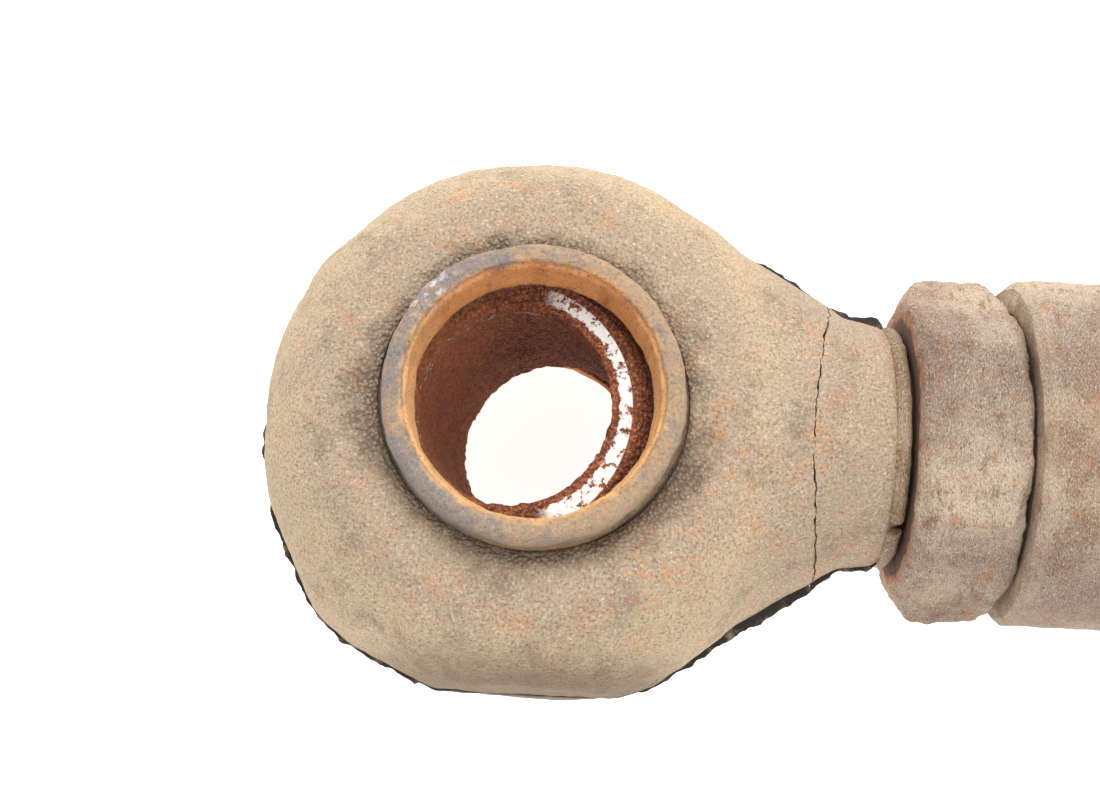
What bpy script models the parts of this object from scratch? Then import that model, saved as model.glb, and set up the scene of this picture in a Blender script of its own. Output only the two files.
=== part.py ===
"""Tie rod end: a rubber covered spherical joint with a threaded shank, a jam nut and a tie tube.

Frame: origin at the centre of the ball, +Z along the bore of the eye, towards its front,
+X along the threaded shank, towards the tube. Every size is in metres.
"""

import math

import bmesh
import bpy
from mathutils import Matrix, Vector

MM = 0.001
GAP = 0.3 * MM  # clearance between neighbouring pieces
ROUND = 40  # flat sides of a large turned piece
SMALL_ROUND = 24  # flat sides of a slender ring

# Ball and bearing
BALL_RADIUS = 14.25 * MM
BALL_HALF_WIDTH = 10.0 * MM
BALL_BORE = 8.0 * MM
BALL_CHAMFER = 0.2 * MM
BALL_REST_TILT = math.radians(-10)  # about +Y, the ball rests tipped away from the shank
LINER_IN, LINER_OUT = 14.45 * MM, 14.85 * MM
LINER_HALF_WIDTH = 4.6 * MM
RACE_IN, RACE_OUT = 15.05 * MM, 16.4 * MM
RACE_HALF_WIDTH = 6.5 * MM
RACE_SPLIT = 0.15 * MM

# Steel eye
EYE_BORE = 16.6 * MM
EYE_HALF_WIDTH = 10.6 * MM
EYE_PROFILE = ((20.3, 3.5), (19.7, 6.0), (18.3, 8.8), (17.5, 10.6))
GROOVE_RADIUS = 16.95 * MM
GROOVE_LOW, GROOVE_HIGH = 8.4 * MM, 9.6 * MM

# Closing ring, circlip, wiper seal and lip wire, front set
RING_RADIUS = 11.45 * MM
RING_TOP = 16.0 * MM
RING_ROUNDING = 0.9 * MM
RING_WAIST = 12.4 * MM  # height where the cone below the upright wall starts
RING_MOUTH, RING_THROAT = 9.6 * MM, 9.2 * MM
THROAT_LOW, THROAT_HIGH = 11.9 * MM, 12.3 * MM
RELIEF_RADIUS = 15.4 * MM
RELIEF_START = 9.8 * MM  # where the inner sphere meets the throat
SHOULDER_RADIUS, SHOULDER_HEIGHT = 14.2 * MM, 9.0 * MM
FLANGE_RADIUS = 16.3 * MM
FLANGE_LOW, FLANGE_HIGH = 6.8 * MM, 8.2 * MM
WIPER_IN, WIPER_OUT = 14.55 * MM, 15.1 * MM
WIPER_FROM, WIPER_TO = math.radians(40.5), math.radians(55)
CLIP_IN, CLIP_OUT = 14.7 * MM, 16.8 * MM
CLIP_LOW, CLIP_HIGH = 8.5 * MM, 9.5 * MM
CLIP_OPENING = math.radians(34)
WIRE_IN, WIRE_OUT = 12.5 * MM, 13.3 * MM
WIRE_LOW, WIRE_HIGH = 11.5 * MM, 12.2 * MM

# Shank
THREAD_RADIUS = 8.0 * MM
SHANK_START, SHANK_END = 10.0 * MM, 70.5 * MM
SHANK_CHAMFER = 1.0 * MM
SHANK_SIDE = ((8.0, 27.6), (7.55, 27.1), (7.55, 25.6), (8.4, 23.2), (9.6, 20.8))

# Rubber
BOOT_RADIUS = 22.7 * MM
BOOT_SIDE = ((11.75, 13.1), (13.2, 13.3), (16.4, 12.5), (18.8, 10.8), (20.7, 7.9), (22.0, 4.4))
BOOT_FLAT = -21.5 * MM  # the worn flat on the lower edge
MOUTH_RADIUS = 11.75 * MM
LIP_FLOOR = 12.45 * MM  # height of the lip's underside
LIP_SPACE = ((13.6, 12.45), (14.5, 10.5))
FLASH_RADIUS = 23.3 * MM
FLASH_HALF_THICKNESS = 0.3 * MM
FLASH_NECK = ((15.5, 17.6), (19.6, 14.6), (22.9, 12.5), (26.4, 10.3))
FLASH_STEPS = 32
NECK_SECTIONS = (
    (11, 18.0, 12.2),
    (16, 16.0, 12.3),
    (19.5, 13.7, 11.9),
    (22.8, 11.9, 11.2),
    (25.3, 10.5, 10.4),
    (28.1, 9.8, 9.8),
)
SEAM_X = 22.8 * MM
SLEEVE_END = 29.45 * MM
SLEEVE_UNDER_CLIP = 8.85 * MM
NECK_CLIP_IN, NECK_CLIP_OUT = 9.15 * MM, 9.95 * MM
NECK_CLIP_LOW, NECK_CLIP_HIGH = 28.2 * MM, 29.45 * MM
NECK_CLIP_GAP = 1.2 * MM
NECK_CLIP_GAP_AT = math.radians(52)

# Jam nut and tie tube
NUT_LOW, NUT_HIGH = 29.8 * MM, 38.3 * MM
NUT_ACROSS_FLATS = 24.8 * MM  # 24 mm across flats under 0.4 mm of rust scale a side
NUT_TURN = math.radians(4.5)
NUT_CHAMFER_RADIUS = 11.8 * MM
NUT_CHAMFER_ANGLE = math.radians(32)
THREAD_CLEARANCE = 8.3 * MM
BORE_MOUTH = 1.6 * MM  # how far the nut's bore opens past its faces
TUBE_LOW, TUBE_HIGH = 38.6 * MM, 138.6 * MM
TUBE_RADIUS, TUBE_BORE = 14.25 * MM, 11.6 * MM
BUNG_RADIUS = 11.5 * MM
BUNG_LENGTH = 34.0 * MM
BUNG_INSET = 0.2 * MM
BUNG_MOUTH = 0.7 * MM
THREAD_MINOR = 7.25 * MM
TUBE_CHAMFER = 1.0 * MM


def clear_scene():
    for old in list(bpy.data.objects):
        bpy.data.objects.remove(old, do_unlink=True)


def collection(name):
    made = bpy.data.collections.new(name)
    bpy.context.scene.collection.children.link(made)
    return made


def material(name, colour, roughness, metallic):
    made = bpy.data.materials.new(name)
    made.use_nodes = True
    shader = made.node_tree.nodes["Principled BSDF"]
    shader.inputs["Base Color"].default_value = (*colour, 1)
    shader.inputs["Roughness"].default_value = roughness
    shader.inputs["Metallic"].default_value = metallic
    return made


def add_object(name, mesh, group, finish=None):
    made = bpy.data.objects.new(name, mesh)
    group.objects.link(made)
    if finish:
        mesh.materials.append(finish)
    return made


def as_cutter(obj):
    obj.hide_render = True
    obj.display_type = "WIRE"
    return obj


def arc(radius, start, end, count):
    """Points (r, z) on a circle about the origin, with angles from the +Z axis."""
    steps = [start + (end - start) * i / (count - 1) for i in range(count)]
    return [(radius * math.sin(a), radius * math.cos(a)) for a in steps]


def turned(name, profile, group, finish=None, steps=ROUND, closed=True, about="Z"):
    """Turns a profile of (r, height) points about Z or X: a closed loop gives a ring, and an
    open line that starts and ends on the axis gives a solid."""
    work = bmesh.new()
    points = [work.verts.new((r, 0, z)) for r, z in profile]
    pairs = list(zip(points, points[1:]))
    if closed:
        pairs.append((points[-1], points[0]))
    for first, second in pairs:
        work.edges.new((first, second))
    mesh = bpy.data.meshes.new(name)
    work.to_mesh(mesh)
    work.free()
    obj = add_object(name, mesh, group, finish)
    screw = obj.modifiers.new("Turn", "SCREW")
    screw.axis = "Z"
    screw.steps = screw.render_steps = steps
    screw.use_merge_vertices = True
    screw.merge_threshold = 1e-6
    screw.use_smooth_shade = True
    if about == "X":
        obj.rotation_euler = (0, math.radians(90), 0)
    return obj


def settle(obj):
    """Applies the modifiers and the placing, so that the object is a plain mesh in the frame."""
    bpy.context.view_layer.update()
    graph = bpy.context.evaluated_depsgraph_get()
    mesh = bpy.data.meshes.new_from_object(obj.evaluated_get(graph))
    mesh.transform(obj.matrix_world)
    obj.modifiers.clear()
    old = obj.data
    obj.data = mesh
    obj.matrix_world = Matrix.Identity(4)
    bpy.data.meshes.remove(old)
    return obj


def boolean(obj, other, operation):
    made = obj.modifiers.new(operation.title(), "BOOLEAN")
    made.operation = operation
    made.object = other
    return obj


def flip(profile):
    """The same loop below the mid-plane, in the order that keeps its faces outward."""
    return [(r, -z) for r, z in reversed(profile)]


def box(name, low, high, group):
    work = bmesh.new()
    bmesh.ops.create_cube(work, size=1)
    low, high = Vector(low), Vector(high)
    bmesh.ops.scale(work, vec=high - low, verts=work.verts)
    bmesh.ops.translate(work, vec=(low + high) / 2, verts=work.verts)
    mesh = bpy.data.meshes.new(name)
    work.to_mesh(mesh)
    work.free()
    return add_object(name, mesh, group)


def tilt_ball(obj):
    obj.rotation_euler = (0, BALL_REST_TILT, 0)
    return obj


def ball_profile():
    rim = math.acos(BALL_HALF_WIDTH / BALL_RADIUS)
    high = BALL_HALF_WIDTH - BALL_CHAMFER
    mouth = (BALL_BORE + BALL_CHAMFER, BALL_HALF_WIDTH)
    upper = [mouth] + arc(BALL_RADIUS, rim, math.pi - rim, 11)
    return upper + [(mouth[0], -mouth[1]), (BALL_BORE, -high), (BALL_BORE, high)]


def liner_profile():
    out = math.acos(LINER_HALF_WIDTH / LINER_OUT)
    inner = math.acos(LINER_HALF_WIDTH / LINER_IN)
    return arc(LINER_OUT, out, math.pi - out, 5) + arc(LINER_IN, math.pi - inner, inner, 5)


def race_profile():
    low = math.acos(RACE_SPLIT / RACE_IN)
    high = math.acos(RACE_HALF_WIDTH / RACE_IN)
    outer = [(RACE_OUT, RACE_HALF_WIDTH), (RACE_OUT, RACE_SPLIT)]
    return outer + arc(RACE_IN, low, high, 5)


def ring_profile():
    start = math.asin(RELIEF_START / RELIEF_RADIUS)
    end = math.acos(FLANGE_LOW / RELIEF_RADIUS)
    corner = 0.3 * RING_ROUNDING
    bevel = 0.2 * MM
    outer = [
        (RING_MOUTH + bevel, RING_TOP),
        (RING_RADIUS - RING_ROUNDING, RING_TOP),
        (RING_RADIUS - corner, RING_TOP - corner),
        (RING_RADIUS, RING_TOP - RING_ROUNDING),
        (RING_RADIUS, RING_WAIST),
        (SHOULDER_RADIUS, SHOULDER_HEIGHT),
        (SHOULDER_RADIUS, FLANGE_HIGH),
        (FLANGE_RADIUS, FLANGE_HIGH),
        (FLANGE_RADIUS, FLANGE_LOW),
    ]
    throat = [
        (RING_THROAT, THROAT_LOW),
        (RING_THROAT, THROAT_HIGH),
        (RING_MOUTH, RING_TOP - bevel),
    ]
    return outer + arc(RELIEF_RADIUS, end, start, 5) + throat


def wiper_profile():
    return arc(WIPER_OUT, WIPER_FROM, WIPER_TO, 3) + arc(WIPER_IN, WIPER_TO, WIPER_FROM, 3)


def rectangle(inner, outer, low, high):
    return [(inner, high), (outer, high), (outer, low), (inner, low)]


def open_ring(name, profile, opening, middle, group, finish, about="Z"):
    """A ring with a gap of the given angle, centred on the given direction."""
    ring = turned(name, profile, group, finish, SMALL_ROUND, about=about)
    turn = ring.modifiers["Turn"]
    turn.angle = 2 * math.pi - opening
    turn.use_merge_vertices = False
    settle(ring)
    ring.data.transform(Matrix.Rotation(middle + opening / 2, 4, about))
    work = bmesh.new()
    work.from_mesh(ring.data)
    bmesh.ops.holes_fill(work, edges=work.edges, sides=0)
    bmesh.ops.recalc_face_normals(work, faces=work.faces)
    work.to_mesh(ring.data)
    work.free()
    return ring


def eye_solid(name, spread, group, finish=None):
    """The forged eye without its bore, grown by a clearance where it cuts the rubber."""
    side = [(r * MM + spread, z * MM) for r, z in EYE_PROFILE]
    side[-1] = (side[-1][0], EYE_HALF_WIDTH + spread)
    down = [(r, -z) for r, z in side]
    outline = [(0, side[-1][1])] + side[::-1] + down + [(0, -side[-1][1])]
    return turned(name, outline, group, finish, closed=False)


def shank_profile(spread):
    """Tip, thread, neck and root of the shank from its far end inwards, as (r, place along X)."""
    edge = THREAD_RADIUS + spread
    tip = [(0, SHANK_END), (edge - SHANK_CHAMFER, SHANK_END), (edge, SHANK_END - SHANK_CHAMFER)]
    side = [(r * MM + spread, x * MM) for r, x in SHANK_SIDE]
    return tip + side + [(side[-1][0], SHANK_START), (0, SHANK_START)]


def make_housing(parts, cutters, finish):
    housing = eye_solid("eye_housing", 0, parts, finish)
    shank = turned("shank_form", shank_profile(0), cutters, closed=False, about="X")
    as_cutter(shank)
    past = EYE_HALF_WIDTH + 3 * MM
    bore = [(0, past), (EYE_BORE, past)]
    bore += [(EYE_BORE, GROOVE_HIGH), (GROOVE_RADIUS, GROOVE_HIGH)]
    bore += [(GROOVE_RADIUS, GROOVE_LOW), (EYE_BORE, GROOVE_LOW)]
    cutter = turned("bore_form", bore + flip(bore), cutters, closed=False)
    as_cutter(cutter)
    boolean(housing, shank, "UNION")
    boolean(housing, cutter, "DIFFERENCE")
    return housing


def loft(name, sections, group, sides=ROUND):
    """A closed solid through ellipses square to X: each section is (x, half width, half height)."""
    work = bmesh.new()
    loops = []
    for x, half_y, half_z in sections:
        place = Matrix.Translation((x * MM, 0, 0)) @ Matrix.Rotation(math.radians(90), 4, "Y")
        scale = Matrix.Diagonal((half_z * MM, half_y * MM, 1, 1))
        made = bmesh.ops.create_circle(work, segments=sides, radius=1, matrix=place @ scale)
        loops.append({edge for vert in made["verts"] for edge in vert.link_edges})
    for first, second in zip(loops, loops[1:]):
        bmesh.ops.bridge_loops(work, edges=list(first | second))
    bmesh.ops.holes_fill(work, edges=work.edges, sides=0)
    bmesh.ops.recalc_face_normals(work, faces=work.faces)
    mesh = bpy.data.meshes.new(name)
    work.to_mesh(mesh)
    work.free()
    return add_object(name, mesh, group)


def flash_outline(group):
    """The thin fin of moulding flash in the mid-plane, round the eye and along the neck."""
    start = math.atan2(FLASH_NECK[0][1], FLASH_NECK[0][0])
    steps = [start + 2 * (math.pi - start) * i / FLASH_STEPS for i in range(1, FLASH_STEPS)]
    around = [(FLASH_RADIUS * math.cos(a), FLASH_RADIUS * math.sin(a)) for a in steps]
    upper = [(x * MM, y * MM) for x, y in reversed(FLASH_NECK)]
    lower = [(x * MM, -y * MM) for x, y in FLASH_NECK]
    curve = bpy.data.curves.new("flash_form", "CURVE")
    curve.dimensions = "2D"
    curve.fill_mode = "BOTH"
    curve.extrude = FLASH_HALF_THICKNESS
    line = curve.splines.new("POLY")
    points = upper + around + lower
    line.points.add(len(points) - 1)
    for point, (x, y) in zip(line.points, points):
        point.co = (x, y, 0, 1)
    line.use_cyclic_u = True
    guide = bpy.data.objects.new("flash_guide", curve)
    group.objects.link(guide)
    bpy.context.view_layer.update()
    graph = bpy.context.evaluated_depsgraph_get()
    mesh = bpy.data.meshes.new_from_object(guide.evaluated_get(graph))
    work = bmesh.new()
    work.from_mesh(mesh)
    bmesh.ops.remove_doubles(work, verts=work.verts, dist=1e-6)
    bmesh.ops.recalc_face_normals(work, faces=work.faces)
    work.to_mesh(mesh)
    work.free()
    bpy.data.objects.remove(guide)
    return as_cutter(add_object("flash_form", mesh, group))


def make_rubber(parts, cutters, finish):
    """The eye cover and the neck sleeve, cut from one outer form at the seam."""
    side = [(r * MM, z * MM) for r, z in BOOT_SIDE]
    outline = [(0, side[0][1])] + side + [(BOOT_RADIUS, 0)] + [(r, -z) for r, z in side[::-1]]
    outline.append((0, -side[0][1]))
    neck = as_cutter(loft("neck_form", NECK_SECTIONS, cutters))
    step = [(0, SLEEVE_END), (SLEEVE_UNDER_CLIP, SLEEVE_END), (SLEEVE_UNDER_CLIP, SEAM_X), (0, SEAM_X)]
    step = as_cutter(turned("sleeve_step_form", step, cutters, closed=False, about="X"))
    flash = flash_outline(cutters)
    steel = as_cutter(eye_solid("eye_space", GAP, cutters))
    shank = turned("shank_space", shank_profile(GAP), cutters, closed=False, about="X")
    as_cutter(shank)
    past = RING_TOP + 4 * MM
    mouth = [(0, past), (MOUTH_RADIUS, past), (MOUTH_RADIUS, LIP_FLOOR)]
    mouth += [(r * MM, z * MM) for r, z in LIP_SPACE]
    mouth = as_cutter(turned("mouth_space", mouth + flip(mouth), cutters, closed=False))
    reach = 60 * MM
    below = as_cutter(box("worn_flat", (-reach, -reach, -reach), (reach, BOOT_FLAT, reach), cutters))
    beyond = box("beyond_seam", (SEAM_X - GAP / 2, -reach, -reach), (reach, reach, reach), cutters)
    before = box("before_seam", (-reach, -reach, -reach), (SEAM_X + GAP / 2, reach, reach), cutters)
    made = []
    for name, away in (("eye_boot", as_cutter(beyond)), ("neck_sleeve", as_cutter(before))):
        rubber = turned(name, outline, parts, finish, closed=False)
        for form in (neck, step, flash):
            boolean(rubber, form, "UNION")
        for space in (steel, shank, mouth, below, away):
            boolean(rubber, space, "DIFFERENCE")
        made.append(rubber)
    return made


def make_nut(parts, cutters, finish):
    """A hexagon cut to the chamfered outline and bored clear of the thread."""
    corner = NUT_ACROSS_FLATS / math.sqrt(3)
    length = NUT_HIGH - NUT_LOW
    work = bmesh.new()
    bmesh.ops.create_cone(
        work, cap_ends=True, segments=6, radius1=corner, radius2=corner, depth=length
    )
    bmesh.ops.rotate(work, matrix=Matrix.Rotation(math.radians(90), 3, "Y"), verts=work.verts)
    turn = Matrix.Rotation(NUT_TURN, 3, "X")
    bmesh.ops.rotate(work, matrix=turn, verts=work.verts)
    bmesh.ops.translate(work, vec=((NUT_LOW + NUT_HIGH) / 2, 0, 0), verts=work.verts)
    mesh = bpy.data.meshes.new("jam_nut")
    work.to_mesh(mesh)
    work.free()
    nut = add_object("jam_nut", mesh, parts, finish)
    slope = (corner - NUT_CHAMFER_RADIUS) * math.tan(NUT_CHAMFER_ANGLE)
    edge = corner + 0.1 * MM
    outline = [(0, NUT_HIGH + MM), (NUT_CHAMFER_RADIUS, NUT_HIGH + MM)]
    outline += [(NUT_CHAMFER_RADIUS, NUT_HIGH), (edge, NUT_HIGH - slope)]
    outline += [(edge, NUT_LOW + slope), (NUT_CHAMFER_RADIUS, NUT_LOW)]
    outline += [(NUT_CHAMFER_RADIUS, NUT_LOW - MM), (0, NUT_LOW - MM)]
    form = as_cutter(turned("nut_chamfer_form", outline, cutters, closed=False, about="X"))
    wide = THREAD_CLEARANCE + BORE_MOUTH
    hole = [(0, NUT_HIGH + MM), (wide, NUT_HIGH + MM), (THREAD_CLEARANCE, NUT_HIGH - MM / 2)]
    hole += [(THREAD_CLEARANCE, NUT_LOW + MM / 2), (wide, NUT_LOW - MM), (0, NUT_LOW - MM)]
    hole = as_cutter(turned("nut_bore_form", hole, cutters, closed=False, about="X"))
    boolean(nut, form, "INTERSECT")
    boolean(nut, hole, "DIFFERENCE")
    return nut


def make_tube(parts, finish, bung_finish):
    """The plain tube and the threaded bung in each of its ends."""
    edge = TUBE_RADIUS - TUBE_CHAMFER
    outline = [
        (TUBE_BORE, TUBE_HIGH),
        (edge, TUBE_HIGH),
        (TUBE_RADIUS, TUBE_HIGH - TUBE_CHAMFER),
        (TUBE_RADIUS, TUBE_LOW + TUBE_CHAMFER),
        (edge, TUBE_LOW),
        (TUBE_BORE, TUBE_LOW),
    ]
    turned("tie_tube", outline, parts, finish, about="X")
    near_face, near_end = TUBE_LOW + BUNG_INSET, TUBE_LOW + BUNG_LENGTH
    near = [
        (THREAD_CLEARANCE + BUNG_MOUTH, near_end),
        (BUNG_RADIUS, near_end),
        (BUNG_RADIUS, near_face),
        (THREAD_CLEARANCE + BUNG_MOUTH, near_face),
        (THREAD_CLEARANCE, near_face + BUNG_MOUTH),
        (THREAD_CLEARANCE, near_end - BUNG_MOUTH),
    ]
    turned("near_bung", near, parts, bung_finish, about="X")
    far_face, far_end = TUBE_HIGH - BUNG_INSET, TUBE_HIGH - BUNG_LENGTH
    wide = THREAD_RADIUS + BUNG_MOUTH
    far = [
        (wide, far_face),
        (BUNG_RADIUS, far_face),
        (BUNG_RADIUS, far_end),
        (THREAD_MINOR, far_end),
        (THREAD_MINOR, far_face - (wide - THREAD_MINOR)),
    ]
    turned("far_bung", far, parts, bung_finish, about="X")


def shade(group):
    for obj in group.objects:
        settle(obj)
        obj.data.shade_smooth()
        obj.data.set_sharp_from_angle(angle=math.radians(35))


def main():
    clear_scene()
    parts = collection("tie_rod_end")
    cutters = collection("cutters")
    forged = material("forged_steel", (0.24, 0.17, 0.12), 0.85, 0.6)
    rusty = material("rusty_steel", (0.32, 0.22, 0.15), 0.85, 0.5)
    orange = material("orange_rust", (0.5, 0.25, 0.1), 0.9, 0.2)
    polished = material("bearing_steel", (0.45, 0.38, 0.33), 0.4, 0.9)
    rubber = material("dusty_rubber", (0.3, 0.25, 0.19), 0.9, 0.0)
    liner = material("liner_fabric", (0.5, 0.42, 0.3), 0.7, 0.0)

    make_housing(parts, cutters, forged)
    tilt_ball(turned("ball", ball_profile(), parts, polished))
    tilt_ball(turned("ball_liner", liner_profile(), parts, liner))
    sides = (("front", lambda loop: loop, 0), ("rear", flip, math.pi))
    for side, place, turn in sides:
        turned(f"{side}_race", place(race_profile()), parts, polished)
        turned(f"{side}_closing_ring", place(ring_profile()), parts, orange)
        turned(f"{side}_wiper_seal", place(wiper_profile()), parts, rubber)
        clip = place(rectangle(CLIP_IN, CLIP_OUT, CLIP_LOW, CLIP_HIGH))
        open_ring(f"{side}_circlip", clip, CLIP_OPENING, turn, parts, forged)
        wire = place(rectangle(WIRE_IN, WIRE_OUT, WIRE_LOW, WIRE_HIGH))
        turned(f"{side}_lip_wire", wire, parts, forged, SMALL_ROUND)
    make_rubber(parts, cutters, rubber)
    band = rectangle(NECK_CLIP_IN, NECK_CLIP_OUT, NECK_CLIP_LOW, NECK_CLIP_HIGH)
    opening = NECK_CLIP_GAP / NECK_CLIP_OUT
    open_ring("neck_clip", band, opening, NECK_CLIP_GAP_AT, parts, rusty, about="X")
    make_nut(parts, cutters, rusty)
    make_tube(parts, rusty, forged)
    shade(parts)


main()
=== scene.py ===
"""Tie rod end: the visible rubber covered joint, jam nut and tie tube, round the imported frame.

Every size is in metres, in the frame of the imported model: the origin is the centre of the ball,
+Z runs along the bore of the eye towards its front, and +X along the shank towards the tube.
"""

import logging
import math
from dataclasses import dataclass
from enum import Enum
from typing import Callable, Iterable, Sequence

import bmesh
import bpy
from mathutils import Matrix, Vector, noise


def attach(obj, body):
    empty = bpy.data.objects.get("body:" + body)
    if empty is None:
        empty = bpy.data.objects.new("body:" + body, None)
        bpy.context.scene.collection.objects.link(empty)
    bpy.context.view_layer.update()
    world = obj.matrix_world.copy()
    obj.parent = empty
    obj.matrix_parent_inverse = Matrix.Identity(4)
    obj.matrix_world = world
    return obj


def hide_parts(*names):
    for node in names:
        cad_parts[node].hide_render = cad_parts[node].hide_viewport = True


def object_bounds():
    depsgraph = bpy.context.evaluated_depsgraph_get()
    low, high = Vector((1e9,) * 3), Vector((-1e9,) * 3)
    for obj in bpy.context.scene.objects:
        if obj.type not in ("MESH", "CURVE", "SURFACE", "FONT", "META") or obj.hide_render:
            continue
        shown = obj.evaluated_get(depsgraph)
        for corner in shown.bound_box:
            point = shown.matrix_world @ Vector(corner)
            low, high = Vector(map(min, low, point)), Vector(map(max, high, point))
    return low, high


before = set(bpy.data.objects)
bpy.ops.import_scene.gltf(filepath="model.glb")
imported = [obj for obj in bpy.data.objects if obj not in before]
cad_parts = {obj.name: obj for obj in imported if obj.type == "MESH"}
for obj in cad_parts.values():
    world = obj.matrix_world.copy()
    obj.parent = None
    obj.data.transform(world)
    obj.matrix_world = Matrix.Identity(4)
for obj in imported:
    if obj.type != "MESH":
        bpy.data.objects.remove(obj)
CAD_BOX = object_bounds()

MM = 0.001
WELD = 1e-6
THREAD_RADIUS = 8.0 * MM
THREAD_PITCH = 1.5 * MM
LOG = logging.getLogger("tie_rod_end")

Point = tuple[float, float]
Colour = tuple[float, float, float]


class Axis(Enum):
    """The line that a piece is turned about, as the plane square to it."""

    BORE = (1, 1, 0)
    SHANK = (0, 1, 1)


class Side(Enum):
    """Which side of the eye a piece belongs to, as the sign of its Z."""

    FRONT = 1
    REAR = -1

    @property
    def title(self) -> str:
        """The word used in the names of pieces on this side."""
        return self.name.lower()


class Cut(Enum):
    """What a Boolean does with the second form."""

    JOIN = "UNION"
    REMOVE = "DIFFERENCE"
    KEEP_COMMON = "INTERSECT"


def paint(red: int, green: int, blue: int) -> Colour:
    """A display colour of 0 to 255 parts as the linear colour that shaders take.

    Args:
        red: red part.
        green: green part.
        blue: blue part.

    Returns:
        The linear colour.
    """
    parts = [part / 255 for part in (red, green, blue)]
    linear = [p / 12.92 if p <= 0.04045 else ((p + 0.055) / 1.055) ** 2.4 for p in parts]
    return linear[0], linear[1], linear[2]


# ---------------------------------------------------------------- shapes


def arc(radius: float, start: float, end: float, count: int) -> list[Point]:
    """Points (r, height) on a circle about the origin.

    Args:
        radius: radius of the circle.
        start: angle of the first point from the height axis, in degrees.
        end: angle of the last point.
        count: number of points.

    Returns:
        The points in order.
    """
    steps = [math.radians(start + (end - start) * i / (count - 1)) for i in range(count)]
    return [(radius * math.sin(a), radius * math.cos(a)) for a in steps]


def finely(profile: Sequence[Point], longest: float) -> list[Point]:
    """The same open line with its long stretches divided evenly.

    Args:
        profile: points (r, height).
        longest: longest stretch that is left.

    Returns:
        The denser line.
    """
    made = [profile[0]]
    for (r0, h0), (r1, h1) in zip(profile, profile[1:]):
        count = max(1, math.ceil(math.hypot(r1 - r0, h1 - h0) / longest))
        made += [(r0 + (r1 - r0) * i / count, h0 + (h1 - h0) * i / count) for i in range(1, count + 1)]
    return made


def turned(profile: Sequence[Point], axis: Axis, steps: int, loop: bool = False) -> bmesh.types.BMesh:
    """Turns a profile a full circle.

    Args:
        profile: points (r, height); an open line starts and ends on the axis.
        axis: the axis it turns about.
        steps: number of sides.
        loop: whether the line closes on itself, which gives a ring.

    Returns:
        The closed form, faces outward.
    """
    work = bmesh.new()
    points = [work.verts.new((r, 0, height)) for r, height in profile]
    pairs = list(zip(points, points[1:]))
    if loop:
        pairs.append((points[-1], points[0]))
    edges = [work.edges.new(pair) for pair in pairs]
    bmesh.ops.spin(
        work, geom=points + edges, cent=(0, 0, 0), axis=(0, 0, 1), angle=math.tau, steps=steps, use_merge=True
    )
    bmesh.ops.remove_doubles(work, verts=work.verts, dist=WELD)
    if axis is Axis.SHANK:
        bmesh.ops.rotate(work, matrix=Matrix.Rotation(math.radians(90), 3, "Y"), verts=work.verts)
    bmesh.ops.recalc_face_normals(work, faces=work.faces)
    return work


def mirrored(profile: Sequence[Point], side: Side) -> list[Point]:
    """The profile on the given side of the mid-plane.

    Args:
        profile: points (r, height) of the front side.
        side: where it goes.

    Returns:
        The same points for the front, and their mirror image for the rear.
    """
    return [(r, height * side.value) for r, height in profile]


def both_sides(profile: Sequence[Point]) -> list[Point]:
    """A front profile followed by its mirror image behind the mid-plane, in order."""
    return [*profile, *((r, -height) for r, height in reversed(profile))]


def lofted(sections: Sequence[tuple[float, float, float]], sides: int) -> bmesh.types.BMesh:
    """A closed form through ellipses square to the shank.

    Args:
        sections: (place along the shank, half width in Y, half height in Z) of each ellipse.
        sides: number of sides.

    Returns:
        The form.
    """
    work = bmesh.new()
    loops = []
    for along, half_y, half_z in sections:
        place = Matrix.Translation((along, 0, 0)) @ Matrix.Rotation(math.radians(90), 4, "Y")
        shape = Matrix.Diagonal((half_z, half_y, 1, 1))
        made = bmesh.ops.create_circle(work, segments=sides, radius=1, matrix=place @ shape)
        loops.append({edge for vert in made["verts"] for edge in vert.link_edges})
    for first, second in zip(loops, loops[1:]):
        bmesh.ops.bridge_loops(work, edges=list(first | second))
    bmesh.ops.holes_fill(work, edges=work.edges, sides=0)
    bmesh.ops.recalc_face_normals(work, faces=work.faces)
    return work


def block(low: Sequence[float], high: Sequence[float]) -> bmesh.types.BMesh:
    """A box between two corners.

    Args:
        low: lowest corner.
        high: highest corner.

    Returns:
        The form.
    """
    work = bmesh.new()
    bmesh.ops.create_cube(work, size=1)
    first, last = Vector(low), Vector(high)
    bmesh.ops.scale(work, vec=last - first, verts=work.verts)
    bmesh.ops.translate(work, vec=(first + last) / 2, verts=work.verts)
    return work


def helix(root: float, crest: float, start: float, end: float) -> bmesh.types.BMesh:
    """A thread ridge of triangular section wound round the shank axis.

    Args:
        root: radius of its base.
        crest: radius of its top.
        start: place along the shank where it starts.
        end: place where it ends.

    Returns:
        The closed ridge.
    """
    pitch, steps = THREAD_PITCH, 48
    base, top = 0.47 * pitch, 0.07 * pitch
    corners = ((root, -base), (crest, -top), (crest, top), (root, base))
    work = bmesh.new()
    points = [work.verts.new((start + along, 0, r)) for r, along in corners]
    face = work.faces.new(points)
    count = round((end - start) / pitch * steps)
    bmesh.ops.spin(
        work,
        geom=[face],
        cent=(0, 0, 0),
        axis=(1, 0, 0),
        dvec=(pitch / steps, 0, 0),
        angle=math.tau * count / steps,
        steps=count,
        use_duplicate=False,
    )
    bmesh.ops.holes_fill(work, edges=work.edges, sides=0)
    bmesh.ops.recalc_face_normals(work, faces=work.faces)
    return work


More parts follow.
